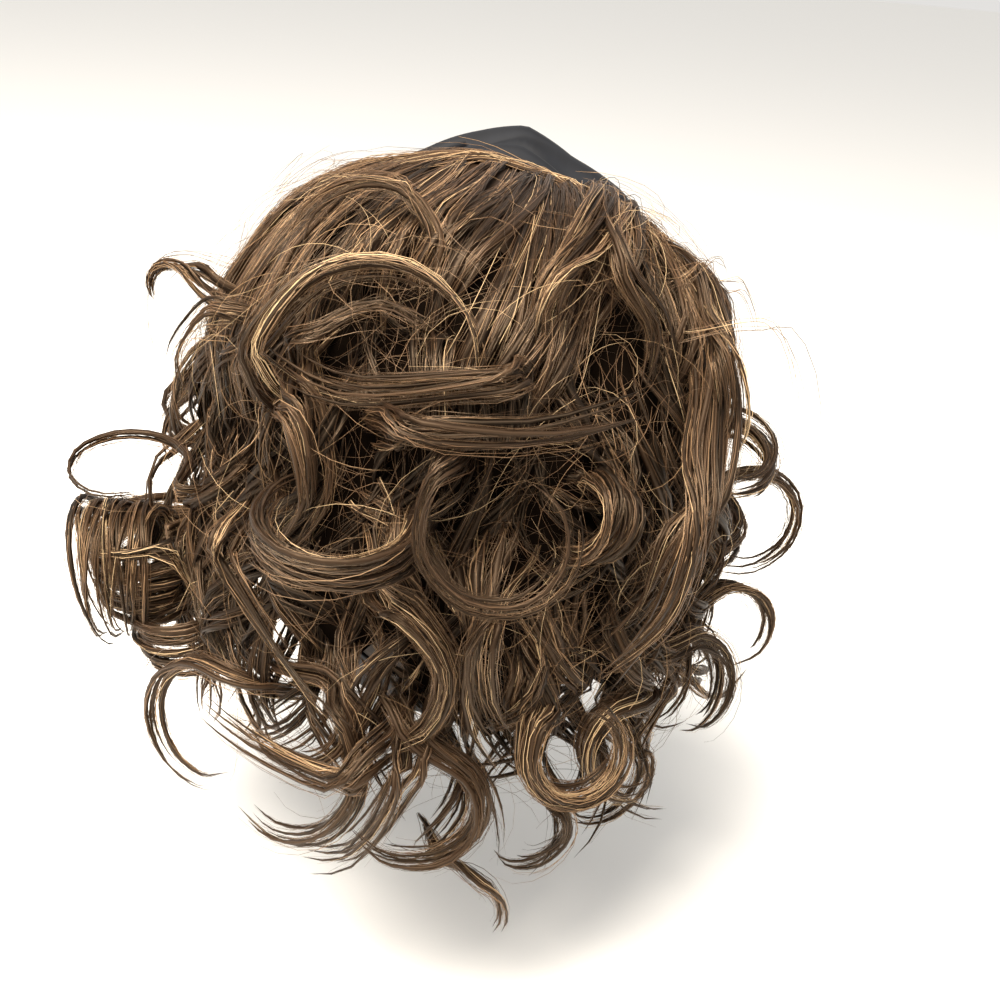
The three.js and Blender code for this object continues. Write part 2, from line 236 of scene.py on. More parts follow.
# Camera at the photo's angle: behind the wig, above it and turned a little to its left.
view = dict(elev=24, yaw=6, roll=6, dist=640, target=(0, 20, -125), frame=404, shiftX=0.045, sensor=36)
elev, yaw, roll = (math.radians(view[key]) for key in ("elev", "yaw", "roll"))
back = np.array([math.sin(yaw) * math.cos(elev), math.cos(yaw) * math.cos(elev), math.sin(elev)])
right = unit(np.cross([0, 0, 1], back))
up = np.cross(back, right)
rightTurned = right * math.cos(roll) + up * math.sin(roll)
upTurned = up * math.cos(roll) - right * math.sin(roll)
lens = bpy.data.cameras.new("camera")
lens.sensor_width = view["sensor"]
lens.lens = view["sensor"] * view["dist"] / view["frame"]
lens.shift_x = view["shiftX"]
lens.clip_start = 0.01
cameraAt = (np.array(view["target"]) + back * view["dist"]) * mm
scene.camera = placed("camera", lens, np.stack([rightTurned, upTurned, back], -1), cameraAt)

# Pale room, in metres: a floor below the lowest curl, even white light, a big soft window high on the left.
room = dict(floor="#f7f6f3", floorZ=-0.292, floorSize=8, floorRoughness=0.9, sky="#fffdfa", skyStrength=0.77,
            window="#fff6ea", windowPower=56, windowSize=0.85,
            windowAt=(0.4, 0.42, 0.95), windowAim=(0, 0.05, -0.1))
floorValues = {"Base Color": linear(room["floor"]), "Roughness": room["floorRoughness"]}
bpy.ops.mesh.primitive_plane_add(size=room["floorSize"], location=(0, 0, room["floorZ"]))
floor = bpy.context.object
floor.name = "floor"
floor.data.materials.append(material("painted board", floorValues)[0])  # matt white paint: soft, even shadow
world = bpy.data.worlds.new("room")
world.use_nodes = True
sky = world.node_tree.nodes["Background"]
sky.inputs["Color"].default_value = linear(room["sky"])
sky.inputs["Strength"].default_value = room["skyStrength"]
scene.world = world
window = bpy.data.lights.new("window", "AREA")
window.size = room["windowSize"]
window.energy = room["windowPower"]
window.color = linear(room["window"])[:3]
facing = unit(np.array(room["windowAt"]) - np.array(room["windowAim"]))
level = unit(np.cross([0, 0, 1], facing))
placed("window", window, np.stack([level, np.cross(facing, level), facing], -1), room["windowAt"])
print("camera and room ready")

# Synthetic hair: thin glossy fibre in a few browns, scattered at random, with painted shade in the darkest
# tones and painted highlight in the palest.
hair = dict(strandTones=["#0e0805", "#1b120b", "#2b1e13", "#3e2c1e",
                         "#553f2c", "#735840", "#9c7d5c", "#d0b389"],
            bodyTones=["#0f0906", "#1a110b", "#271b12", "#35261a"],
            shade="#0a0604", glint="#f3d3b0", ior=1.52,
            strandFinish=(0.3, 1.0), bodyFinish=(0.5, 0.35), shadeFinish=(0.8, 0.05))  # roughness and gloss
hairMaterials = []


def hairMaterial(name, colour, roughness, gloss):
    values = {"Base Color": linear(colour), "Roughness": roughness, "IOR": hair["ior"],
              "Specular IOR Level": gloss, "Specular Tint": linear(hair["glint"])}
    hairMaterials.append(material(name, values)[0])


for i, colour in enumerate(hair["strandTones"]):  # smooth fibre: a bright line along each strand
    hairMaterial("synthetic hair strand %d" % (i + 1), colour, *hair["strandFinish"])
for i, colour in enumerate(hair["bodyTones"]):  # packed fibre inside the locks, in darker browns for painted shade: a broad, weak gloss
    hairMaterial("synthetic hair body %d" % (i + 1), colour, *hair["bodyFinish"])
hairMaterial("synthetic hair in shade", hair["shade"], *hair["shadeFinish"])  # matted fibre, near black for painted shade: dull
bodyFirst = len(hair["strandTones"])
shadeTone = bodyFirst + len(hair["bodyTones"])

# The solid model's locks, a few begun a little earlier or later: circle of the curl, then its ribbon.
lockColumns = "zone az down out face tilt radius start sweep advance shrink width thick".split()
lockRows = [
    ["back", 41, 45, 25, 30, 20, 28, 64, -165, 8, 0.9, 7, 5],
    ["back", 25, 63, 38, 16, 40, 44, 280, 172, 6, 0.95, 9, 6],
    ["back", 27, 30, 33, 16, 40, 83, 153, 71, -12, 1, 13, 6],
    ["back", 24, 64, 36, 16, 40, 31, 304, 96, 4, 0.95, 8, 6],
    ["back", -24, 55, 22, -20, 15, 28, 28, 102, 4, 1, 20, 7],
    ["back", -33, 55, 34, -14, 15, 33, 304, -60, 2, 1, 15, 7],
    ["back", 9, 23, 70, -4, 30, 127, 190, -37, 0, 1, 12, 7],
    ["back", 26, 82, 40, 20, 76, 27, 60, 270, 6, 0.95, 19, 7],
    ["back", 0, 79, 56, 2, 10, 24, 300, -290, 8, 0.95, 5, 4],
    ["back", 11, 61, 15, 100, 0, 15, -20, 220, 0, 0.9, 22, 7],
    ["back", 0, 63, 15, 90, 0, 16, -20, 220, 0, 0.9, 24, 7],
    ["back", -22, 80, 30, 70, 20, 15, -10, 240, 0, 0.9, 18, 7],
    ["right", -36, 64, 40, -46, 20, 38, 84, 64, 0, 1, 18, 8],
    ["right", -70, 91, 44, -12, 5, 20, 285, 290, 6, 0.95, 9, 5],
    ["right", -12, 84, 44, -22, 0, 52, 84, 74, 0, 1, 22, 9],
    ["right", -70, 117, 46, -14, 5, 18, 300, 235, 4, 0.95, 9, 6],
    ["right", -80, 140, 30, -30, 0, 22, 250, -100, 0, 1, 6, 5],
    ["right", -76, 126, 46, -40, 0, 24, 235, -110, 0, 1, 6, 5],
    ["right", -40, 143, 20, -16, 0, 20, 60, 185, 0, 1, 9, 5],
    ["right", -54, 122, 40, -40, 10, 20, 330, 250, 6, 0.9, 12, 6],
    ["right", -62, 78, 36, -20, 60, 18, 330, 270, 6, 0.9, 14, 6],
    ["right", -106, 96, 34, -100, 84, 17, 0, 520, -56, 0.85, 10, 6],
    ["right", -94, 112, 36, -94, 82, 16, 40, 480, -50, 0.85, 10, 6],
    ["left", 50, 81, 40, 40, 0, 38, 46, 96, 6, 1, 18, 8],
    ["left", 82, 66, 52, 30, 0, 9, 20, -200, 6, 0.95, 8, 5],
    ["left", 64, 72, 30, 30, 0, 26, 328, -105, 2, 1, 5, 4],
    ["left", 72, 88, 58, 20, 78, 21, 100, -320, 4, 0.95, 4, 4],
    ["left", 79, 116, 58, 95, -8, 25, -50, 230, 4, 0.95, 34, 8],
    ["left", 72, 125, 37, 60, 72, 18, 60, 300, 6, 0.95, 22, 7],
    ["left", 7, 69, 73, 40, 0, 121, 230, -42, 0, 1, 7, 5],
    ["left", 48, 131, 49, 36, 0, 25, 25, -250, 6, 0.95, 10, 5],
    ["left", 108, 96, 34, 100, 84, 17, 0, -520, -56, 0.85, 10, 6],
    ["left", 80, 122, 40, 70, 82, 16, -40, -480, -44, 0.85, 10, 6],
    ["nape", -38, 94, 67, -6, 0, 88, 268, -40, 0, 1, 18, 8],
    ["nape", -19, 121, 46, -16, 8, 20, 300, -320, 8, 0.9, 14, 7],
    ["nape", 21, 107, 43, 14, 0, 34, 36, 130, 4, 1, 16, 8],
    ["nape", 31, 76, 55, 42, 0, 109, 166, 36, 0, 1, 13, 6],
    ["nape", 35, 131, 40, 34, 0, 37, 56, 160, 0, 1, 11, 6],
    ["nape", 41, 122, 40, 36, 0, 68, 100, 76, 0, 1, 12, 6],
    ["nape", 8, 133, 44, 6, 5, 24, 10, 235, 6, 0.95, 13, 6],
    ["nape", -2, 159, 40, 2, 0, 16, 10, 150, 0, 1, 6, 5],
    ["nape", -34, 128, 38, -26, 10, 18, 20, -250, 4, 0.9, 12, 6],
    ["nape", 30, 122, 40, 28, 30, 18, 330, 280, 6, 0.9, 12, 6],
    ["nape", -16, 144, 31, 0, 0, 15, 60, 190, 0, 1, 8, 5],
]
combedRoots = {4: -36, 5: -38, 12: -52, 14: -62}  # locks combed down from the band: lock, degrees round it
pointedLocks = [2]  # locks that come out of the mass in a point
lockTones = {1: 2.8, 9: 1.2, 10: 1.2, 11: 1.8}  # locks that lie in the shade of others
pathSteps = 161
lead = dict(depth=15, pointedDepth=2, radius=30, perOff=1.2, length=(20, 48), guideDegrees=45, outwardZ=0.6,
            turnBefore=0.18, turnAfter=0.06, combedBehind=24, combedSink=9, combedGuides=4)


def catmull(guides, count):  # uniform Catmull-Rom curve through the guides, ends mirrored
    ends = np.vstack([2 * guides[0] - guides[1], guides, 2 * guides[-1] - guides[-2]])
    t = np.linspace(0, len(guides) - 1, count)
    i = np.minimum(t.astype(int), len(guides) - 2)
    f = (t - i)[:, None]
    p0, p1, p2, p3 = ends[i], ends[i + 1], ends[i + 2], ends[i + 3]
    return 0.5 * (2 * p1 + (p2 - p0) * f + (2 * p0 - 5 * p1 + 4 * p2 - p3) * f ** 2
                  + (3 * p1 - p0 - 3 * p2 + p3) * f ** 3)


def overDome(rootAngle, end):  # guides from a root at the band over the crown hair towards a point
    start = seamCourse(rootAngle, lead["combedBehind"], hairForm["crownOut"])
    off = offHead(end)[0]
    stop = unit((end - headCentre) / (halfSizes + off))
    f = np.linspace(0, 1, lead["combedGuides"], endpoint=False)[:, None]
    course = unit(start * (1 - f) + stop * f)
    out = hairOuter(*domeAngles(course)) + 1 - lead["combedSink"] * (1 - smooth(f[:, 0], 0, 0.5))
    return onDome(course, out + (off - out) * f[:, 0] ** 2)


def lockPath(lock, rootAngle=None, depth=lead["depth"]):
    # A lead, then the arc: points, width and thickness directions, and the part at which the arc begins.
    face, tilt = math.radians(lock["face"]), math.radians(lock["tilt"])
    axis = np.array([math.sin(face) * math.cos(tilt), math.cos(face) * math.cos(tilt), math.sin(tilt)])
    side = np.array([-math.cos(face), math.sin(face), 0])
    centre = hull(lock["az"], lock["down"], lock["out"])
    t = np.linspace(0, 1, max(2, round(abs(lock["sweep"]) / lead["guideDegrees"])) + 1)[:, None]
    clock = np.radians(lock["start"] + lock["sweep"] * t)
    radius = lock["radius"] * (1 + (lock["shrink"] - 1) * t)
    curl = (centre + radius * np.cos(clock) * np.cross(axis, side) + radius * np.sin(clock) * side
            + lock["advance"] * (t - 0.5) * axis)
    ahead = unit(np.cross(curl[0] - centre, axis)) * math.copysign(1, lock["sweep"])
    stands = lead["perOff"] * (offHead(curl[0])[0] - hairForm["sideOut"])
    behind = curl[0] - ahead * np.clip(max(min(lock["radius"], lead["radius"]), stands), *lead["length"])
    off, outward = offHead(behind)
    root = behind - outward * (off - depth)
    reach = np.linalg.norm(curl[0] - root)
    f = np.array([0, 1 / 3, 2 / 3])[:, None]  # the lead is a Hermite curve from the root into the arc
    fall = ((2 * f ** 3 - 3 * f ** 2 + 1) * root + (f ** 3 - 2 * f ** 2 + f) * (curl[0] - root)
            + (3 * f ** 2 - 2 * f ** 3) * curl[0] + (f ** 3 - f ** 2) * ahead * reach)
    if rootAngle is not None:
        fall = overDome(rootAngle, curl[0])
    guides = np.vstack([fall, curl])
    points = catmull(guides, pathSteps)
    tangent = unit(np.gradient(points, axis=0))
    flat = unit(np.cross((points - headCentre) * [1, 1, lead["outwardZ"]], tangent))
    turn = len(fall) / (len(guides) - 1)
    s = np.linspace(0, 1, pathSteps)
    sign = -1 if flat[round(turn * (pathSteps - 1))] @ axis < 0 else 1
    turned = smooth(s, turn - lead["turnBefore"], turn + lead["turnAfter"])[:, None]
    wide = squareTo(flat * sign + (axis - flat * sign) * turned, tangent)
    return points, wide, np.cross(tangent, wide), turn


def along(values, t):  # values at fractions t of a path, straight between its points
    x = np.clip(t, 0, 1) * (len(values) - 1)
    i = np.minimum(x.astype(int), len(values) - 2)
    f = (x - i)[..., None]
    return values[i] * (1 - f) + values[i + 1] * f


def tubes(points, side, radius):  # three-sided closed tubes round strands of equal length
    strands, rings = points.shape[:2]
    tangent = unit(np.gradient(points, axis=1))
    side = squareTo(side, tangent)
    other = np.cross(tangent, side)
    turn = np.arange(3) * 2 * math.pi / 3
    ring = side[:, :, None] * np.cos(turn)[:, None] + other[:, :, None] * np.sin(turn)[:, None]
    body = points[:, :, None] + ring * radius[:, :, None, None]
    quads = gridFaces(rings, 3, closeColumns=True).reshape(1, -1, 4)
    base = (np.arange(strands) * rings * 3)[:, None, None]
    last = (rings - 1) * 3
    caps = np.array([[[2, 1, 0], [last, last + 1, last + 2]]])
    return body.reshape(-1, 3), (quads + base).reshape(-1, 4), (caps + base).reshape(-1, 3)


class Bunch:  # gathers tubes and solids of one piece of hair, each face with its tone
    def __init__(self):
        self.points, self.quads, self.tris, self.quadTone, self.triTone, self.count = [], [], [], [], [], 0

    def add(self, points, quads, tris, quadTone, triTone):
        self.points.append(points)
        self.quads.append(quads + self.count)
        self.tris.append(tris + self.count)
        self.quadTone.append(np.broadcast_to(quadTone, len(quads)))
        self.triTone.append(np.broadcast_to(triTone, len(tris)))
        self.count += len(points)

    def strands(self, points, side, radius, tone):
        body, quads, tris = tubes(points, side, radius)
        perStrand = (points.shape[1] - 1) * 3
        self.add(body, quads, tris, np.repeat(tone, perStrand), np.repeat(tone, 2))

    def triangles(self):
        return 2 * sum(len(q) for q in self.quads) + sum(len(t) for t in self.tris)

    def finish(self, nodeName):
        points, quads, tris = (np.concatenate(parts) for parts in (self.points, self.quads, self.tris))
        tone = np.concatenate(self.quadTone + self.triTone)
        made = meshObject(nodeName, points, quads, tris, hairMaterials, tone)
        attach(made, "root")
        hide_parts(nodeName)
        print(nodeName, self.triangles(), "triangles")


# Wisps and strands run along paths: points and directions of width and thickness, wisps x rings x 3.
strand = dict(radius=0.125, share=(0.65, 1.2), tipFrom=0.75, tipLoss=0.7, begins=0.06, ends=0.94, early=0.2,
              reach=(0.8, 1.25), looseShare=0.25, looseReach=(0.3, 1.9), waves=(1.2, 2.6),
              wide=1.08, thick=1.15, flyShare=0.2, flyOff=4, wispSpread=1.1, toneSpread=1.3, toneShift=-0.1)
# Wisps sit a tone below their lock, in the darker body tones: painted shade under the strands.
wisp = dict(lean=0.2, toneShift=-1, toneSpread=0.6)


def pickTone(rng, shape, base, spread):  # tones of strands, scattered round a base
    return np.clip(np.round(base + rng.normal(0, spread, shape)), 0, bodyFirst - 1).astype(int)


def pinched(s):  # 1 along a wisp, nearly nothing at its two ends
    return np.where((s == 0) | (s == 1), 0.05, 1)


def addWisps(target, path, halfWide, halfThick, rng, base):
    # Wisp: a flat closed tube along a path whose section is a rhombus, one tone for each wisp.
    points, wide, thick = path
    wisps, rings = points.shape[:2]
    a, b = np.array([1, 0, -1, 0]), np.array([wisp["lean"], 1, -wisp["lean"], -1])
    body = (points[:, :, None] + wide[:, :, None] * (a * halfWide[..., None])[..., None]
            + thick[:, :, None] * (b * halfThick[..., None])[..., None])
    quads = gridFaces(rings, 4, closeColumns=True)
    offset = (np.arange(wisps) * rings * 4)[:, None, None, None]
    last = (rings - 1) * 4
    ends = np.array([[[0, 2, 1], [0, 3, 2], [last, last + 1, last + 2], [last, last + 2, last + 3]]])
    own = np.round(base + wisp["toneShift"] + rng.normal(0, wisp["toneSpread"], wisps))
    tone = bodyFirst + np.clip(own, 0, len(hair["bodyTones"]) - 1).astype(int)
    target.add(body.reshape(-1, 3), (quads[None] + offset).reshape(-1, 4),
               (ends + offset[:, 0]).reshape(-1, 3), np.repeat(tone, (rings - 1) * 4), np.repeat(tone, 4))


def addStrands(target, path, halfWide, halfThick, rng, base, perWisp, segments, stray=0.3, halfTurns=2.0):
    # Strands: fine tubes that follow the wisps, set round each wisp's section, a few straying from it.
    points, wide, thick = path
    wisps, rings = points.shape[:2]
    group = np.repeat(np.arange(wisps), perWisp)
    one = (len(group), 1)
    f = np.linspace(0, 1, segments + 1)[None]
    begin = rng.uniform(0, strand["begins"], one)
    ring = (begin + (strand["ends"] - rng.random(one) ** 3 * strand["early"]) * f) * (rings - 1)
    low = np.minimum(ring.astype(int), rings - 2)
    part = ring - low

    def at(values):  # values of each strand's own wisp, straight between its rings
        blend = part if values.ndim == 2 else part[..., None]
        return values[group[:, None], low] * (1 - blend) + values[group[:, None], low + 1] * blend

    angle = rng.uniform(0, halfTurns * math.pi, one)
    reach = rng.uniform(*strand["reach"], one)
    reach = reach + (rng.random(one) < strand["looseShare"]) * rng.uniform(*strand["looseReach"], one)
    phase = rng.uniform(0, fullTurn, (2, *one))
    wave = rng.uniform(*strand["waves"], one) * fullTurn * f
    x = np.arcsin(np.cos(angle)) * 2 / math.pi * reach * at(halfWide) * strand["wide"]
    x = x + stray * 2 * np.sin(wave + phase[0])
    y = np.sin(angle) * reach * at(halfThick) * strand["thick"] + stray * np.sin(wave * 1.3 + phase[1])
    y = y + (rng.random(one) < strand["flyShare"]) * rng.normal(0, strand["flyOff"], one) * f ** 2
    side = at(wide)
    lines = at(points) + side * x[..., None] + at(thick) * y[..., None]
    thinning = 1 - strand["tipLoss"] * smooth(f, strand["tipFrom"], 1)
    radius = strand["radius"] * rng.uniform(*strand["share"], one) * thinning
    own = (base + rng.normal(0, strand["wispSpread"], wisps))[group] + strand["toneShift"]
    target.strands(lines, side, radius, pickTone(rng, len(group), own, strand["toneSpread"]))


# Locks. Widths and depths in mm; the tones are places in the lists of tones.
# wispTone sets a lock's wisps darker than its strands: painted shade.
lockForm = dict(wispWidth=1.9, mostWisps=24, early=0.24, tipClose=0.6, filled=0.85, sway=12, wisp=0.8,
                thick=(0.7, 1.5), tone=3.3, wispTone=-0.6, strandTone=0.7, segments=0.68)


def addLock(target, path, width, depth, rings, rng, density, fan=1.7, fanEnd=0.4, base=lockForm["tone"],
            stray=1.5, bare=False):
    # Lock: wisps side by side across a ribbon that slowly turns, fanned at the root, drawn in at the tip.
    wisps = int(np.clip(round(width / lockForm["wispWidth"]), 1 if bare else 3, lockForm["mostWisps"]))
    one = (wisps, 1)
    end = 1 - rng.random(wisps)[:, None] ** 1.5 * lockForm["early"]
    s = np.linspace(0, 1, rings)[None]
    t = end * s
    p, w, d = (along(values, t) for values in path)
    spread = (fan - (fan - 1) * smooth(s, 0, fanEnd)) * (1 - lockForm["tipClose"] * s ** 3)
    sway = min(width, lockForm["sway"])
    centre = np.linspace(-1, 1, wisps) * lockForm["filled"] * width + rng.normal(0, 0.1, wisps) * sway
    height = rng.uniform(-0.7, 0.7, one) * depth / 2
    phase = rng.uniform(0, fullTurn, (3, *one))
    x = centre[:, None] / 2 * spread + 0.08 * width * np.sin(fullTurn * 1.1 * t + phase[0])
    x = x + rng.normal(0, 0.12, one) * sway * s ** 1.5
    y = height * spread + rng.normal(0, stray, one) * s ** 1.5
    y = y + 0.16 * depth * np.sin(fullTurn * 1.4 * t + phase[1])
    roll = (rng.normal(0, 0.5) * t + 0.35 * np.sin(fullTurn * 0.8 * t + phase[2]))[..., None]
    p = p + w * x[..., None] + d * y[..., None]
    wispPath = (p, w * np.cos(roll) + d * np.sin(roll), d * np.cos(roll) - w * np.sin(roll))
    taper = np.maximum((1 - s ** 3) * (0.15 + 0.85 * smooth(s, 0, 0.3)), 0.015)
    halfWide = lockForm["wisp"] * width / wisps * rng.uniform(0.7, 1.3, one) * taper * (0.6 + 0.4 * spread)
    halfThick = np.clip(0.18 * depth, *lockForm["thick"]) * rng.uniform(0.8, 1.2, one) * np.sqrt(taper)
    halfThick = halfThick * pinched(s)
    if not bare:
        addWisps(target, wispPath, halfWide * 0.95, halfThick * 0.85, rng, base + lockForm["wispTone"])
    perWisp = max(2, round(width * density / wisps))
    segments = max(7, round(rings * lockForm["segments"]))
    addStrands(target, wispPath, halfWide, halfThick, rng, base + lockForm["strandTone"], perWisp, segments)


nodeNames = dict(crown="crown_hair", back="back_curls", nape="nape_curls",
                 left="left_curls", right="right_curls")
zones = {zone: Bunch() for zone in nodeNames}
curl = dict(seed=100, wider=1.1, thicker=1.15, wobble=0.9, rings=8, ringRadius=24, ringDegrees=12,
            ringLimits=(12, 27), combedRings=5, broad=30, broadShare=1.7, stray=0.09, strayRadius=40,
            fan=1.5, fullFan=2.4, fullWidth=(12, 24), combedFan=1.2, pointedFan=0.15,
            fanTurn=1.2, fanLimit=0.6)
perWidth = dict(back=6.6, nape=6.6, left=4.9, right=6.2)  # strands for each mm of a lock's width


def curlFan(i, lock):  # how much wider than its ribbon a lock begins
    if i in pointedLocks:
        return curl["pointedFan"]
    if i in combedRoots:
        return curl["combedFan"]
    low, high = curl["fullWidth"]
    return curl["fullFan"] if low < lock["width"] < high else curl["fan"]


wobble = np.linspace(0, fullTurn, pathSteps)[:, None]
for i, row in enumerate(lockRows):
    lock = dict(zip(lockColumns, row))
    depth = lead["pointedDepth"] if i in pointedLocks else lead["depth"]
    points, wide, thick, turn = lockPath(lock, combedRoots.get(i), depth)
    aside = np.sin(1.7 * wobble + i) * wide + np.sin(2.3 * wobble + 2 * i) * thick
    points = points + curl["wobble"] * aside
    turnRings = abs(lock["sweep"]) * math.sqrt(lock["radius"] / curl["ringRadius"]) / curl["ringDegrees"]
    rings = int(np.clip(round(curl["rings"] + turnRings), *curl["ringLimits"]))
    rings = rings + curl["combedRings"] * (i in combedRoots)
    density = perWidth[lock["zone"]] * (curl["broadShare"] if lock["width"] > curl["broad"] else 1)
    addLock(zones[lock["zone"]], (points, wide, thick), lock["width"] * curl["wider"],
            lock["thick"] * curl["thicker"], rings, np.random.default_rng(curl["seed"] + i), density,
            curlFan(i, lock), min(curl["fanTurn"] * turn, curl["fanLimit"]),
            lockTones.get(i, lockForm["tone"]), curl["stray"] * min(lock["radius"], curl["strayRadius"]))

# Flyaways: a barrel inside the far left roll, then bare strands that leave the outline in arcs.
fly = dict(seed=300, rings=20, bareBelow=20, density=5, bareDensity=2.2, stray=2.5)
flyRows = [
    ["left", 79, 112, 50, 60, 76, 19, 90, 300, 8, 0.95, 34, 8],
    ["right", -50, 73, 46, -40, 0, 44, 36, 104, 6, 1, 3, 3],
    ["right", -76, 69, 22, -40, 0, 40, 38, 77, 4, 1, 4, 3],
    ["right", -67, 52, 40, -40, 0, 6, -20, 150, 2, 1, 4, 3],
    ["left", 53, 51, 20, 30, 20, 42, 25, -110, 6, 1, 4, 3],
    ["left", 43, 52, 24, 40, 20, 46, 10, -105, -4, 1, 3, 3],
    ["left", 89, 70, 26, 30, 0, 38, 295, -75, 4, 1, 3, 3],
    ["left", 67, 72, 36, 30, 0, 16, 320, -120, 4, 1, 4, 3],
]
for i, row in enumerate(flyRows):
    lock = dict(zip(lockColumns, row))
    bare = lock["width"] < fly["bareBelow"]
    density = fly["bareDensity"] if bare else fly["density"]
    addLock(zones[lock["zone"]], lockPath(lock)[:3], lock["width"], lock["thick"], fly["rings"],
            np.random.default_rng(fly["seed"] + i), density, stray=fly["stray"], bare=bare)
print("locks ready")

# Crown: wisps combed from a whorl over the dome to where the curls begin, there rolled under.
crown = dict(seed=7, wisps=230, rings=10, perWisp=10, az=(-118, 122), behind=(10, 34), rootSink=5, bend=0.07,
             bendAz=-30, low=3, swell=4, under=16, sunk=4.5, halfWide=2.0, halfThick=0.8, hiddenAz=-29,
             hiddenSize=8, stray=0.4, halfTurns=1.0)
combEnds = np.array([[-118, 82], [-60, 80], [-48, 68], [-42, 42], [-19, 41], [-14, 66], [14, 68], [20, 50],
                     [36, 50], [44, 66], [60, 80], [122, 82]])  # az and down at which the combed hair ends
combRoots = np.array([[-118, -64], [-60, -46], [-30, -36], [0, -25], [30, -12], [60, 8],
                      [122, 50]])  # az of an end and degrees round the band of its root


def combed(count, rings, rng):
    # Courses from roots at the band to their ends, bent a little, how far off the head they lie,
    # and how near they come to the dark hollow on the right, for painted shade there.
    endAz = np.linspace(*crown["az"], count) + rng.normal(0, 2, count)
    rootAngle = np.interp(endAz, *combRoots.T) + rng.normal(0, 5, count)
    behind = rng.uniform(*crown["behind"], count)
    start = seamCourse(rootAngle, behind, hairForm["crownOut"] - crown["rootSink"])[:, None]
    stop = domeCourse(endAz, np.interp(endAz, *combEnds.T) + rng.normal(0, 3, count))[:, None]
    t = 1 - (1 - np.linspace(0, 1, rings)[None, :, None]) ** 1.4
    bend = crown["bend"] * np.sign(endAz - crown["bendAz"]) + rng.normal(0, 0.05, count)
    bent = unit(np.cross(start, stop)) * (bend[:, None, None] * np.sin(math.pi * t))
    course = unit(start * (1 - t) + stop * t + bent)
    t = t[..., 0]
    out = hairOuter(*domeAngles(course)) - crown["low"] * (1 - smooth(t, 0, 0.25))
    out = out + crown["swell"] * smooth(t, 0.5, 0.8) - crown["under"] * smooth(t, 0.8, 1)
    return course, out, np.exp(-((endAz - crown["hiddenAz"]) / crown["hiddenSize"]) ** 2)


rng = np.random.default_rng(crown["seed"])
course, out, hollowShade = combed(crown["wisps"], crown["rings"], rng)
sunk = rng.uniform(-crown["sunk"], 0, (crown["wisps"], 1))
points = onDome(course, out + sunk)
path = (points, unit(np.cross(course, np.gradient(points, axis=1))), course)
s = np.linspace(0, 1, crown["rings"])[None]
grow = (0.35 + 0.65 * smooth(s, 0, 0.7)) * pinched(s)
halfWide = crown["halfWide"] * rng.uniform(0.6, 1.3, (crown["wisps"], 1)) * grow
halfThick = crown["halfThick"] * rng.uniform(0.8, 1.2, (crown["wisps"], 1)) * np.sqrt(grow)
wispTone = 2.7 + 0.25 * sunk[:, 0] - 1.4 * hollowShade  # painted shade: deeper hair and hair in the hollow are darker
strandTone = 4.1 + 0.7 * sunk[:, 0] - 2.2 * hollowShade
addWisps(zones["crown"], path, halfWide, halfThick, rng, wispTone)
addStrands(zones["crown"], path, halfWide * 1.4, halfThick * 1.3, rng, strandTone, crown["perWisp"],
           crown["rings"] - 1, crown["stray"], crown["halfTurns"])

# Front edge: wisps that leave the whorl to both sides and run along just behind the band.
edge = dict(left=40, right=28, rings=12, perWisp=8, segments=8, begin=(-52, -26), leftLong=(55, 112),
            rightLong=(24, 58), behind=2, deep=40, drift=9, out=8.0, sunk=3.4, layers=2.8, rootSink=5,
            halfWide=2.3, halfThick=0.8, wispTone=3.4, strandTone=4.9)
many = (edge["left"] + edge["right"], 1)
turnLeft = (np.arange(many[0]) < edge["left"])[:, None]
begin = rng.uniform(*edge["begin"], many)
length = np.where(turnLeft, rng.uniform(*edge["leftLong"], many), -rng.uniform(*edge["rightLong"], many))
s = np.linspace(0, 1, edge["rings"])[None]
behind = edge["behind"] + edge["deep"] * rng.random(many) + rng.uniform(0, edge["drift"], many) * s ** 2
course = seamCourse(begin + length * s, behind, edge["out"])
out = hairOuter(*domeAngles(course)) - edge["sunk"] + rng.uniform(0, edge["layers"], many)
points = onDome(course, out - edge["rootSink"] * (1 - smooth(s, 0, 0.25)))
path = (points, unit(np.cross(course, np.gradient(points, axis=1))), course)
grow = smooth(s, -0.05, 0.3) * (1 - 0.9 * smooth(s, 0.7, 1)) * pinched(s)
halfWide = edge["halfWide"] * rng.uniform(0.6, 1.2, many) * grow
halfThick = edge["halfThick"] * np.sqrt(grow) * np.ones(many)
addWisps(zones["crown"], path, halfWide, halfThick, rng, edge["wispTone"])
addStrands(zones["crown"], path, halfWide * 1.2, halfThick, rng, edge["strandTone"], edge["perWisp"],
           edge["segments"], crown["stray"], crown["halfTurns"])
print("crown ready")

# Matted hair under the curls: one closed shell, ridged along the fall.
shell = dict(outerRows=30, innerRows=14, columns=120, under=3, sink=8.0, ridge=2.2, ridges=17, twist=11,
             paleRows=9, paleTone=bodyFirst + 2)


def offFace(az):  # 1 over the back and sides, 0 over the face
    return 1 - smooth(np.abs(az), *hairForm["faceAz"])


def hemAt(az):  # lowest level of the mass: the seam in front, the hem at the sides and back
    hang = hairForm["hemRight"] + (hairForm["hemLeft"] - hairForm["hemRight"]) * smooth(az, -5, 30)
    levels = np.linspace(0, 128, 513)
    p = hull(np.asarray(az)[:, None], levels[None], hairForm["crownOut"] / 2)
    behind = (p - seamTop) @ planeBack > hairForm["behindBand"]
    seamLevel = np.minimum(levels[np.maximum(np.argmin(behind, axis=1) - 1, 0)], hang)
    return seamLevel + (hang - seamLevel) * offFace(az)


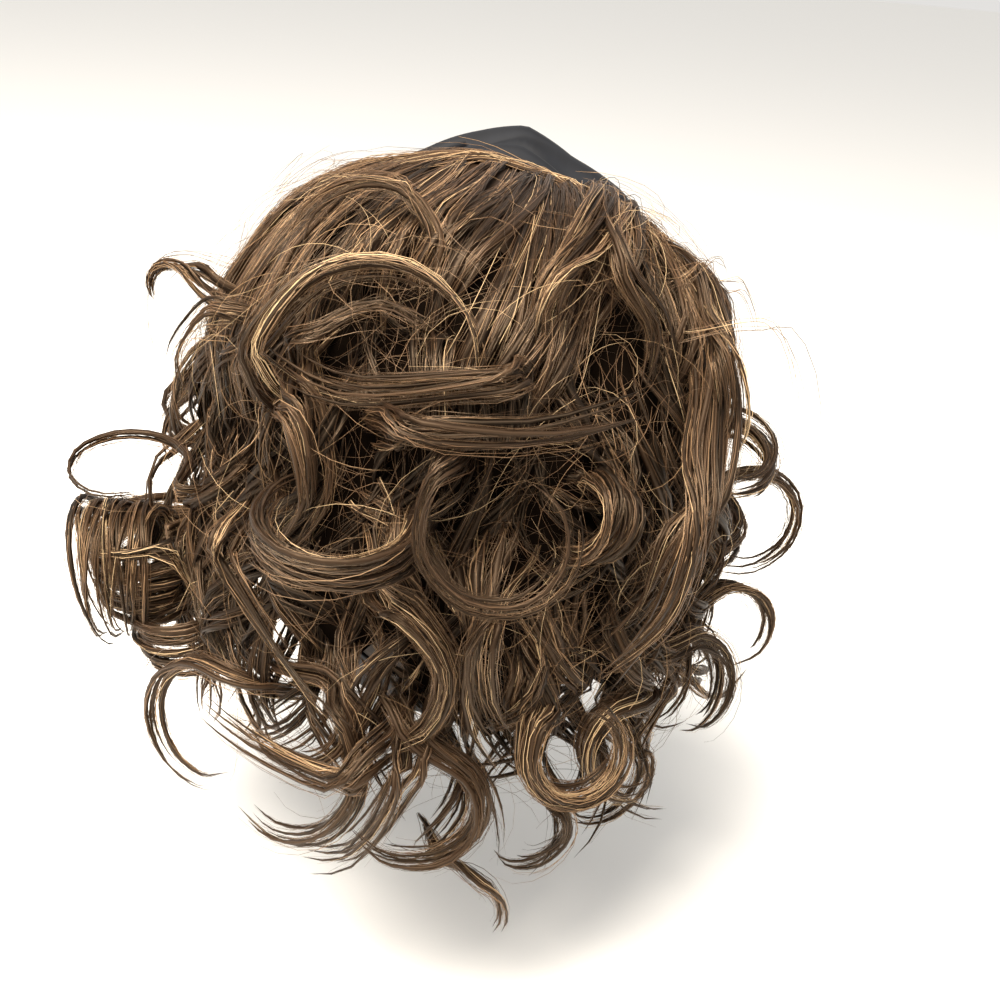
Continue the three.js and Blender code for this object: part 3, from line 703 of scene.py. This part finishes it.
def massShell():  # rows of points: down the outside to a ragged hem, up the inside clear of cap and band
    az = np.arange(shell["columns"]) * 360 / shell["columns"] - 180
    ragged = 7 + 4 * np.sin(np.radians(az) * 9) + 3 * np.sin(np.radians(az) * 23 + 1)
    hem = hemAt(az) - ragged * offFace(az)
    down = np.linspace(0, 1, shell["outerRows"])[:, None] * hem[None]
    ridges = np.cos(np.radians(az) * shell["ridges"] + down / shell["twist"]) * smooth(down, 25, 60)
    sink = shell["under"] + (shell["sink"] - shell["under"]) * smooth(down, 20, 60)
    outer = hull(az[None], down, hairOuter(az[None], down) - sink + shell["ridge"] * ridges)
    down = np.linspace(1, 0, shell["innerRows"])[:, None] * hem[None]
    clear = hairForm["capClearance"]
    ahead = -((hull(az[None], down, clear) - seamTop) @ planeBack)
    lift = smooth(ahead, -14, 4) * (1 - smooth(np.abs(az), 122, 142))[None]
    inner = hull(az[None], down, clear + (hairForm["curtain"] - clear) * lift)
    rows = np.concatenate([outer, inner])
    rows[0], rows[-1] = rows[0].mean(0), rows[-1].mean(0)
    return rows


rows = massShell()
quads = gridFaces(*rows.shape[:2], closeColumns=True)[:, :, ::-1].reshape(-1, 4)
pale = np.arange(len(quads)) < shell["paleRows"] * shell["columns"]  # hair shows at the crown, shade below
shellTone = np.where(pale, shell["paleTone"], shadeTone)
zones["crown"].add(rows.reshape(-1, 3), quads, noTris, shellTone, shadeTone)
print("mass ready")


def zoneAt(az, down):  # the piece that hair at a place belongs to; low on the left the nape reaches further
    if az > (62 if down > 100 else 42):
        return "left"
    if az < -42:
        return "right"
    return "back" if down < 90 else "nape"


# Filler curls: ringlets that wind down the mass between the big ones, and free ones along its hem.
filler = dict(seed=21, rings=14, width=(5, 9), depth=4.5, radius=(7, 13), turns=(0.8, 1.3), swing=(2, 6),
              lowest=154, sunk=6, rise=7, flat=0.8, toneSpread=0.8)
fillerColumns = "count azFrom azTo topFrom topTo longFrom longTo off tone density".split()
# Groups sunk into the mass (off -7 and -8) take the dark tone 1.2: painted shade.
fillerRows = [
    [13, 42, 112, 46, 84, 34, 56, 0, 2.8, 2.6],
    [8, 76, 108, 56, 96, 30, 50, 12, 2.8, 2.6],
    [22, -112, -44, 46, 84, 34, 56, 0, 2.8, 3.0],
    [10, -44, 44, 84, 96, 30, 44, 2, 3.0, 3.0],
    [30, -84, 96, 90, 106, 32, 52, 2, 3.0, 3.0],
    [40, -48, 50, 52, 84, 30, 50, -7, 1.2, 1.6],
    [12, -100, -50, 60, 90, 30, 50, -7, 1.2, 1.6],
    [10, 50, 100, 60, 90, 30, 50, -7, 1.2, 1.6],
    [12, 34, 66, 82, 98, 34, 48, 0, 2.4, 2.4],
    [8, -76, -44, 92, 104, 36, 48, 0, 2.6, 2.2],
    [5, -30, -8, 104, 114, 28, 36, -8, 1.2, 1.8],
]


def addFiller(group, az, rng):  # a helix round a line that runs down the mass and swings a little
    s = np.linspace(0, 1, pathSteps)
    top = rng.uniform(group["topFrom"], group["topTo"])
    length = rng.uniform(group["longFrom"], group["longTo"])
    swing = rng.uniform(*filler["swing"]) * np.sin(fullTurn * (0.6 * s + rng.random()))
    down = np.minimum(top + length * s, filler["lowest"])
    off = (filler["rise"] + group["off"]) * s - filler["sunk"]
    line = hull(az + swing, down, hairOuter(az, down) + off)
    outward = unit((line - headCentre) * [1, 1, 0])
    downward = unit(np.gradient(line, axis=0))
    begin = rng.uniform(0, fullTurn)
    winding = rng.choice([-1, 1]) * fullTurn * rng.uniform(*filler["turns"])
    clock = (begin + winding * (0.88 * s + 0.12 * s ** 2))[:, None]
    radius = (rng.uniform(*filler["radius"]) * (0.3 + 0.7 * smooth(s, 0, 0.4)))[:, None]
    sideways = np.cross(outward, downward)
    points = line + radius * (np.cos(clock) * outward * filler["flat"] + np.sin(clock) * sideways)
    tangent = unit(np.gradient(points, axis=0))
    wide = squareTo(downward, tangent)
    width = rng.uniform(*filler["width"])
    tone = group["tone"] + rng.uniform(-filler["toneSpread"], filler["toneSpread"])
    path = (points, wide, np.cross(tangent, wide))
    addLock(zones[zoneAt(az, top + length / 2)], path, width, filler["depth"], filler["rings"], rng,
            group["density"], base=tone)


rng = np.random.default_rng(filler["seed"])
for row in fillerRows:
    group = dict(zip(fillerColumns, row))
    spread = np.linspace(group["azFrom"], group["azTo"], group["count"]) + rng.normal(0, 3, group["count"])
    for az in spread:
        addFiller(group, az, rng)
print("fillers ready")

# Frizz: single strands bent in arcs that cross the gaps and stand off the outline, more in the hollows.
frizz = dict(seed=33, count=1200, perHollow=26, scatter=1.3, az=(-108, 112), down=(34, 134), away=(-5, 12),
             segments=7, length=(20, 80), bend=(9, 50), turn=3.6, inward=(0.3, 1.0), share=(0.4, 0.8),
             tipLoss=0.6, tone=3.7, tonePerAway=0.1, toneSpread=1.6)
rng = np.random.default_rng(frizz["seed"])
dark = np.repeat(hollows[:-1], frizz["perHollow"], axis=0)


def scattered(limits, column):  # even between the limits, then round the hollows
    even = rng.uniform(*limits, frizz["count"])
    near = dark[:, column] + rng.normal(0, frizz["scatter"], len(dark)) * dark[:, 2]
    return np.concatenate([even, near])


az = scattered(frizz["az"], 0)
down = scattered(frizz["down"], 1)
count = len(az)
away = rng.uniform(*frizz["away"], count)
root = hull(az, down, hairOuter(az, down) + away)
outward = offHead(root)[1]
angle = rng.uniform(0, fullTurn, count)[:, None]
east = unit(np.cross([0, 0, 1], outward))
heading = np.cos(angle) * east + np.sin(angle) * np.cross(outward, east)
turning = np.cross(heading, outward) * rng.choice([-1, 1], count)[:, None]
turning = unit(turning - outward * rng.uniform(*frizz["inward"], count)[:, None])
turning = squareTo(turning, heading)[:, None]
radius = rng.uniform(*frizz["bend"], count)[:, None, None]
swing = np.minimum(rng.uniform(*frizz["length"], count)[:, None, None] / radius, frizz["turn"])
arc = np.linspace(-0.5, 0.5, frizz["segments"] + 1)[None, :, None] * swing
lines = root[:, None] + radius * (np.sin(arc) * heading[:, None] + (1 - np.cos(arc)) * turning)
thinning = 1 - frizz["tipLoss"] * np.abs(np.linspace(-1, 1, frizz["segments"] + 1))[None] ** 3
thin = strand["radius"] * rng.uniform(*frizz["share"], count)[:, None] * thinning
# Strands sunk into the mass take darker tones and those standing off lighter ones: painted shade and painted
# light.
tone = pickTone(rng, count, frizz["tone"] + frizz["tonePerAway"] * away, frizz["toneSpread"])
side = np.broadcast_to(outward[:, None], lines.shape)
zone = np.array([zoneAt(*spot) for spot in zip(az, down)])
for name in ("back", "nape", "left", "right"):
    mine = zone == name
    zones[name].strands(lines[mine], side[mine], thin[mine], tone[mine])
print("frizz ready")

for zone, nodeName in nodeNames.items():
    zones[zone].finish(nodeName)

# Headband: from its seam the loose cloth rises to a ridge and comes down to the front edge.
band = dict(wall=2.0, gap=0.1, topWidth=46, napeWidth=28, columns=200, steps=34, crowd=1.6, lowest=1.4,
            inside=0.3, crease=7.0, creaseAt=0.105, creaseSway=0.02, creaseSize=0.05, creaseLift=(8, 20))
liftAngle = [-180, -100, -80, -66, -56, -46, -36, -24, -12, -2, 12, 26, 40, 56, 74, 100, 180]
liftHeight = [1.5, 2, 4, 12, 23, 31, 33, 31, 35, 28, 20, 17, 11, 6, 4, 2, 1.5]
angle = (np.arange(band["columns"]) / band["columns"] * 2 - 1) * math.pi
across = np.linspace(0, 1, band["steps"])[:, None] ** band["crowd"]
width = band["napeWidth"] + (band["topWidth"] - band["napeWidth"]) * (1 + np.cos(angle)) / 2
lift = np.interp(np.degrees(angle), liftAngle, liftHeight)
rise = np.sin(math.pi * np.sqrt(across)) * (lift - 1)
fold = band["creaseAt"] + band["creaseSway"] * np.sin(3 * angle + 1)  # where the pressed crease runs
apart = np.maximum(fold - across, (across - fold) * 4) / band["creaseSize"]
crease = np.exp(-apart ** 2) * smooth(lift, *band["creaseLift"])
line = np.stack([seamHeight - band["gap"] - width * across,
                 band["lowest"] + np.maximum(rise - band["crease"] * crease, 0)], -1)
slope = np.gradient(line, axis=0)
normal = unit(np.stack([slope[..., 1], -slope[..., 0]], -1)) * band["wall"] / 2
faces = np.concatenate([line + normal, (line - normal)[::-1]])
heights = np.minimum(faces[..., 0], seamHeight - band["gap"])
rows = planeRing(angle[None], heights, np.maximum(faces[..., 1], band["inside"]))

# Stretch cloth, a fine charcoal knit: dull, a faint sheen, ribs along the band and a soft mottle, in mm.
knit = dict(pitch=1.1, dark="#0a0b0e", light="#16181d", mottle=9.0, ribShare=0.35)
clothValues = {"Roughness": 0.62, "Specular IOR Level": 0.2, "Sheen Weight": 0.03}
cloth, tree, shader = material("stretch cloth", clothValues)
spot = node(tree, "ShaderNodeUVMap", dict(uv_map="map")).outputs[0]
ribScale = math.pi / (10 * knit["pitch"])
ribs = node(tree, "ShaderNodeTexWave", dict(bands_direction="Y"), Vector=spot, Scale=ribScale)
patch = node(tree, "ShaderNodeTexNoise", None, Vector=spot, Scale=1 / knit["mottle"], Detail=3.0)
both = node(tree, "ShaderNodeMath", dict(operation="MULTIPLY_ADD"), i0=ribs.outputs[1], i1=knit["ribShare"],
            i2=patch.outputs[0])
shade = node(tree, "ShaderNodeMix", dict(data_type="RGBA"), i0=both.outputs[0], i6=linear(knit["dark"]),
             i7=linear(knit["light"]))
tree.links.new(shade.outputs[2], shader.inputs["Base Color"])
quads = gridFaces(*rows.shape[:2], closeRows=True, closeColumns=True).reshape(-1, 4)
girth = np.linalg.norm(np.diff(rows[0], axis=0), axis=1).sum()
down = np.concatenate([across, across[::-1]]) * width
clothMap = np.stack([np.broadcast_to(angle / fullTurn * girth, down.shape), down], -1).reshape(-1, 2)
headband = meshObject("headband", rows, quads, noTris, [cloth], uv=clothMap, girth=girth)
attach(headband, "root")
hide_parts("headband")
print("headband ready")

# Cap: a thin net dome inside the hair, with sewn rows on its inner face.
cap = dict(wall=1.6, columns=96, rows=44, weftRows=16, weftHeight=0.5, colour="#2b221c", roughness=0.85)
netValues = {"Base Color": linear(cap["colour"]), "Roughness": cap["roughness"]}
net = material("cap net", netValues)[0]  # dark net: dull
angle = np.arange(cap["columns"]) * 2 * math.pi / cap["columns"]
part = np.linspace(0, 1, cap["rows"])
weft = cap["weftHeight"] * (1 - np.cos(fullTurn * cap["weftRows"] * part)) / 2
layers = []
for out, layerPart, sewn in ((0, part, weft), (cap["wall"], part[::-1], 0 * part)):
    pole = 1 / math.sqrt(planeTerms(out)[2])  # height at which the plane only touches the dome
    height = pole * np.cos(layerPart * math.acos(seamHeight / pole))
    layers.append(planeRing(angle[None], height[:, None], out + sewn[:, None]))
rows = np.concatenate(layers)
rows[0], rows[-1] = rows[0].mean(0), rows[-1].mean(0)
quads = gridFaces(*rows.shape[:2], closeColumns=True)[:, :, ::-1].reshape(-1, 4)
capObject = meshObject("cap", rows, quads, noTris, [net])
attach(capObject, "root")
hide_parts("cap")
print("cap ready")
